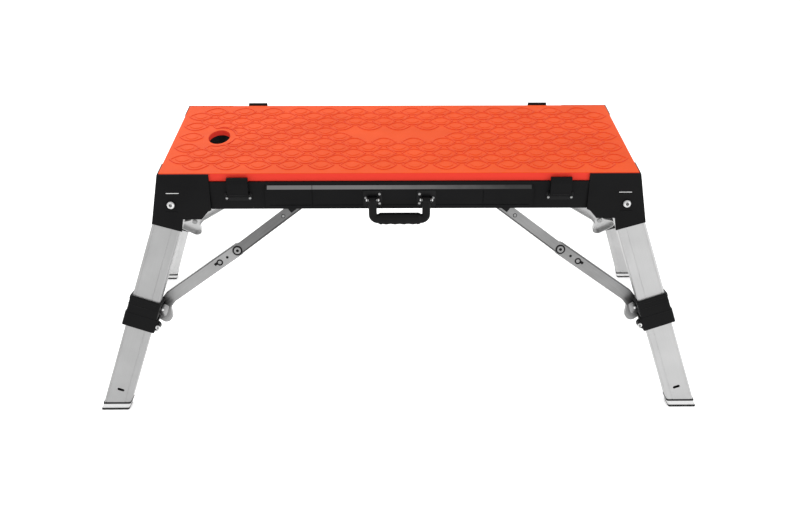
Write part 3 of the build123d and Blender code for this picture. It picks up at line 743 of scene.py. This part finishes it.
# the painted highlight strip on the latch's top edge stays this far below the top of the latch
EDGE_DROP = 0.35
for corner, (sx, sy) in CORNERS.items():
    x = LATCH_X * sx
    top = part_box(f"latch_{corner}")[1].z / MM
    bm = bmesh.new()
    rib_at = Vector((x, LATCH_RIB_Y, LATCH_RIB_Z))
    pad(bm, rib_at, INWARD, LATCH_RISE, LATCH_OUT, LATCH_RIB_SIZE, 0.8, 0.7, 0.3)
    bm.transform(Matrix.Diagonal((1, sy, 1, 1)))
    to_object(f"latch_ribs_{corner}", bm, black_steel, f"latch_{corner}")
    # a pale satin strip along the latch's top edge, as a painted highlight
    bm = bmesh.new()
    edge_at = Vector((x, LATCH_EDGE_Y, top - EDGE_DROP))
    pad(bm, edge_at, INWARD, -OUTWARD, UP, LATCH_EDGE_SIZE, 1.2, 0.3, 0.2)
    bm.transform(Matrix.Diagonal((1, sy, 1, 1)))
    to_object(f"latch_edge_highlight_{corner}", bm, edge_highlight_satin, f"latch_{corner}")

# ------------------------------------------------------------ fascia
# a satin strip along the bevel over each long panel, with a joint in it; its pale tone, darkening
# from left to right, is a painted reflection on the bevel
fascia_low, fascia_high = (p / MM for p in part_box("front_fascia_panel"))
STRIP_TOP, STRIP_LOW = fascia_high.z - 1.2, fascia_high.z - 8.6
STRIP_PROFILE = ((-194.4, STRIP_TOP), (-196.6, STRIP_TOP - 3.4), (-199.0, STRIP_LOW))
STRIP_JOINT, JOINT_HALF, STRIP_INSET = -185.0, 0.6, 5
STRIP_PIECES = (
    (fascia_low.x + STRIP_INSET, STRIP_JOINT - JOINT_HALF),
    (STRIP_JOINT + JOINT_HALF, fascia_high.x - STRIP_INSET),
)
for side, where in ((1, "front"), (-1, "rear")):
    bm = bmesh.new()
    for x0, x1 in STRIP_PIECES:
        rings = []
        for x, lift in ((x0, -0.5), (x0, 0.7), (x1, 0.7), (x1, -0.5)):
            rings.append([Vector((x, y - lift, z + lift * 0.5)) for y, z in STRIP_PROFILE])
        skin_rings(bm, rings, caps=False, closed=False)
    bm.transform(Matrix.Diagonal((1, side, 1, 1)))
    to_object(f"{where}_bevel_strip", bm, strip_reflection_satin, "root", smooth=25)

# ------------------------------------------------------------ stage
FLOOR_GLOW = 0.42


def floor_material():
    """A white floor that gives back a little light of its own."""
    made, tree = new_material("floor_white")
    principled = shader(
        tree,
        Specular_IOR_Level=0.2,
        Roughness=0.8,
        Emission_Color=(1, 1, 1, 1),
        Emission_Strength=FLOOR_GLOW,
    )
    where = tree.nodes.new("ShaderNodeTexCoord").outputs["Object"]
    cloud = node(tree, "TexNoise", Scale=2.0, Detail=3.0)
    tree.links.new(where, cloud.inputs["Vector"])
    tree.links.new(
        ramp(tree, cloud.outputs["Fac"], grey(0.92), grey(0.94)),
        principled.inputs["Base Color"],
    )
    return made


bm = bmesh.new()
bmesh.ops.create_grid(bm, x_segments=2, y_segments=2, size=30.0)
mesh = bpy.data.meshes.new("floor")
bm.to_mesh(mesh)
bm.free()
floor = bpy.data.objects.new("floor", mesh)
floor.location = (0, 0, -0.0005)
scene.collection.objects.link(floor)
mesh.materials.append(floor_material())

world = bpy.data.worlds.new("studio")
scene.world = world
world.use_nodes = True
world.node_tree.nodes["Background"].inputs["Color"].default_value = (1, 1, 1, 1)
world.node_tree.nodes["Background"].inputs["Strength"].default_value = 1.0


def area_light(name, place, aim, size, power):
    data = bpy.data.lights.new(name, "AREA")
    data.shape = "RECTANGLE"
    data.size, data.size_y = size
    data.energy = power
    obj = bpy.data.objects.new(name, data)
    obj.location = place
    obj.rotation_euler = (Vector(aim) - Vector(place)).to_track_quat("-Z", "Y").to_euler()
    scene.collection.objects.link(obj)


area_light("overhead", (-1.2, 1.6, 2.6), (0, 0, 0.4), (1.8, 1.4), 26)
area_light("front_left", (-2.2, -3.0, 1.8), (0, 0, 0.4), (1.6, 1.6), 6)
area_light("front_right", (2.6, -2.4, 1.2), (0, 0, 0.3), (1.6, 1.8), 16)

CAMERA_AT, LENS = (-0.0208, -1.9956, 1.4192), 42.7
YAW, PITCH, ROLL = -0.709, 59.185, 0.14
camera_data = bpy.data.cameras.new("camera")
camera_data.sensor_width = 36.0
camera_data.lens = LENS
camera_data.clip_end = 200
camera = bpy.data.objects.new("camera", camera_data)
camera.location = CAMERA_AT
yaw, pitch, roll = (
    Matrix.Rotation(math.radians(angle), 3, axis)
    for angle, axis in ((YAW, "Z"), (PITCH, "X"), (ROLL, "Z"))
)
camera.rotation_euler = (yaw @ pitch @ roll).to_euler()
scene.collection.objects.link(camera)
scene.camera = camera
scene.view_settings.view_transform = "Standard"
